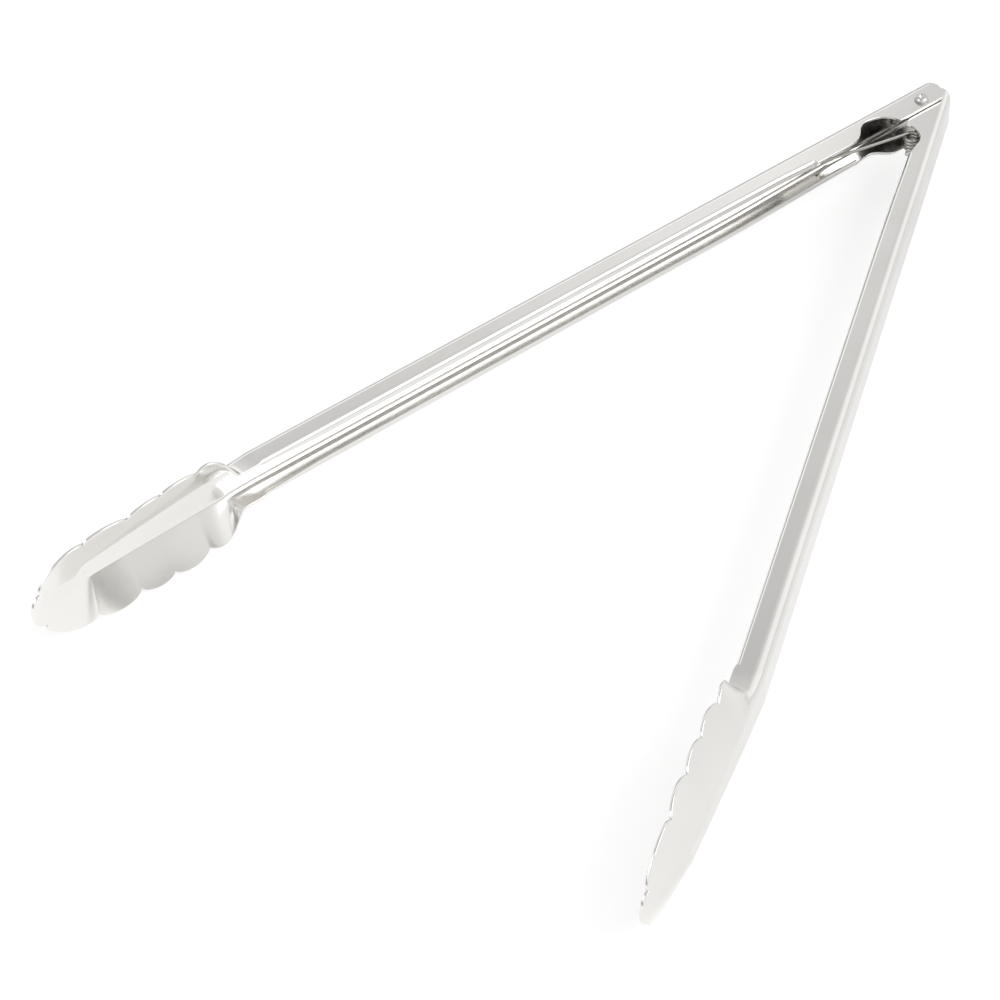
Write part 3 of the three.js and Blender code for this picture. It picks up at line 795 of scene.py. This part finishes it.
def makeFloor():
    # Paper that looks white to the camera, apart from the object's shadow, lights the object
    # like a plain pale floor, and looks a little brighter in the steel.
    size = studio["floorSize"]
    mesh = bpy.data.meshes.new("floor")
    corners = [(-size, -size, 0), (size, -size, 0), (size, size, 0), (-size, size, 0)]
    mesh.from_pydata(corners, [], [(0, 1, 2, 3)])
    floor = bpy.data.objects.new("floor", mesh)
    bpy.context.scene.collection.objects.link(floor)
    material = bpy.data.materials.new("floor paper")
    material.use_nodes = True
    tree = material.node_tree
    nodes, links = tree.nodes, tree.links
    nodes.clear()
    path = nodes.new("ShaderNodeLightPath")

    def paper(tone):  # a diffuse colour plus its own light
        colour = nodes.new("ShaderNodeBsdfDiffuse")
        colour.inputs["Color"].default_value = (tone, tone, tone, 1)
        light = nodes.new("ShaderNodeEmission")
        both = nodes.new("ShaderNodeAddShader")
        links.new(colour.outputs[0], both.inputs[0])
        links.new(light.outputs[0], both.inputs[1])
        return both.outputs[0], light.inputs["Strength"]

    seenPaper, seenLight = paper(studio["seenTone"])
    seenLight.default_value = studio["seenGlow"]
    litPaper, litLight = paper(studio["floorTone"])
    # In the steel the paper is brighter towards the front left.
    forward = dotNode(tree, nodes.new("ShaderNodeTexCoord").outputs["Object"], (-1, -1, 0))
    rise = rangedNode(tree, forward, studio["mirrorSpan"], studio["mirrorGlow"])
    links.new(mathNode(tree, "MULTIPLY", rise, path.outputs["Is Glossy Ray"]), litLight)

    choose = nodes.new("ShaderNodeMixShader")
    links.new(path.outputs["Is Camera Ray"], choose.inputs[0])
    links.new(litPaper, choose.inputs[1])
    links.new(seenPaper, choose.inputs[2])
    out = nodes.new("ShaderNodeOutputMaterial")
    links.new(choose.outputs[0], out.inputs["Surface"])
    mesh.materials.append(material)


def makeWorld():
    # What the steel sees of the room: a side behind, a bright side and a dark side, each with
    # its own tones from the horizon up. The camera itself sees plain white.
    world = bpy.data.worlds.new("studio")
    bpy.context.scene.world = world
    world.use_nodes = True
    tree = world.node_tree
    nodes, links = tree.nodes, tree.links
    way = nodes.new("ShaderNodeTexCoord").outputs["Generated"]
    parts = nodes.new("ShaderNodeSeparateXYZ")
    links.new(way, parts.inputs[0])

    def stepped(value, span, result):
        return rangedNode(tree, value, span, result, smooth=True)

    def toneOf(heights):  # a step from each height to the next, added up
        (low, before), (high, after) = heights[:2]
        total = stepped(parts.outputs["Z"], (low, high), (before, after))
        for (low, before), (high, after) in zip(heights[1:-1], heights[2:]):
            step = stepped(parts.outputs["Z"], (low, high), (0, after - before))
            total = mathNode(tree, "ADD", total, step)
        return total

    def sideOf(turn, fade):  # 1 on one side of the room, with a soft edge
        turn = np.radians(turn)
        return stepped(dotNode(tree, way, (np.cos(turn), np.sin(turn), 0)), fade, (0, 1))

    tone = mixNode(tree, sideOf(studio["brightTurn"], studio["brightFade"]),
                   toneOf(studio["behind"]), toneOf(studio["brightSide"]))
    tone = mixNode(tree, sideOf(studio["darkTurn"] + 90, studio["darkFade"]),
                   tone, toneOf(studio["darkSide"]))
    light = nodes["Background"]
    light.inputs["Color"].default_value = (1, 1, 1, 1)
    links.new(tone, light.inputs["Strength"])
    seen = nodes.new("ShaderNodeBackground")
    seen.inputs["Color"].default_value = (1, 1, 1, 1)
    seen.inputs["Strength"].default_value = 1.0
    choose = nodes.new("ShaderNodeMixShader")
    links.new(nodes.new("ShaderNodeLightPath").outputs["Is Camera Ray"], choose.inputs[0])
    links.new(light.outputs[0], choose.inputs[1])
    links.new(seen.outputs[0], choose.inputs[2])
    links.new(choose.outputs[0], nodes["World Output"].inputs["Surface"])


def makeLamp(name, place, width, height, power):  # a soft box that faces the object
    light = bpy.data.lights.new(name, "AREA")
    light.shape, light.size, light.size_y, light.energy = "RECTANGLE", width, height, power
    holder = bpy.data.objects.new(name, light)
    way = unitVectors(np.array(place))
    right = unitVectors(np.cross([0.0, 0.0, 1.0], way))
    holder.matrix_world = placed(right, np.cross(way, right), way, place)
    bpy.context.scene.collection.objects.link(holder)


def makeStudio():
    bpy.context.scene.view_settings.view_transform = "Standard"
    makeFloor()
    makeWorld()
    for lamp in lamps:
        makeLamp(**lamp)


# The pieces, each with the node that it stands for; the arms and the rivet also with the body that
# carries them

for name, kind in (("outer", outerArm), ("inner", innerArm)):
    armTurn = kind["side"] * arm["openAngle"] / 2
    armSteel = steelMaterial("polished sheet, " + name + " arm", sheetSteel, armTurn)
    armPiece = makeArm("arm_" + name, kind, armSteel)
    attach(armPiece, name + "_arm")
    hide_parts(name + "_arm")
    print(name, "arm made:", len(armPiece.data.polygons), "faces")

rivetPiece = makeRivet(steelMaterial("turned steel", rivetSteel))
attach(rivetPiece, "outer_arm")
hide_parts("pivot_rivet")
print("rivet made")

for wirePiece in makeSpring(steelMaterial("spring wire with painted shade", wireSteelWithPaintedShade)):
    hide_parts("torsion_spring")
print("spring made")

makeStudio()
print("studio made")
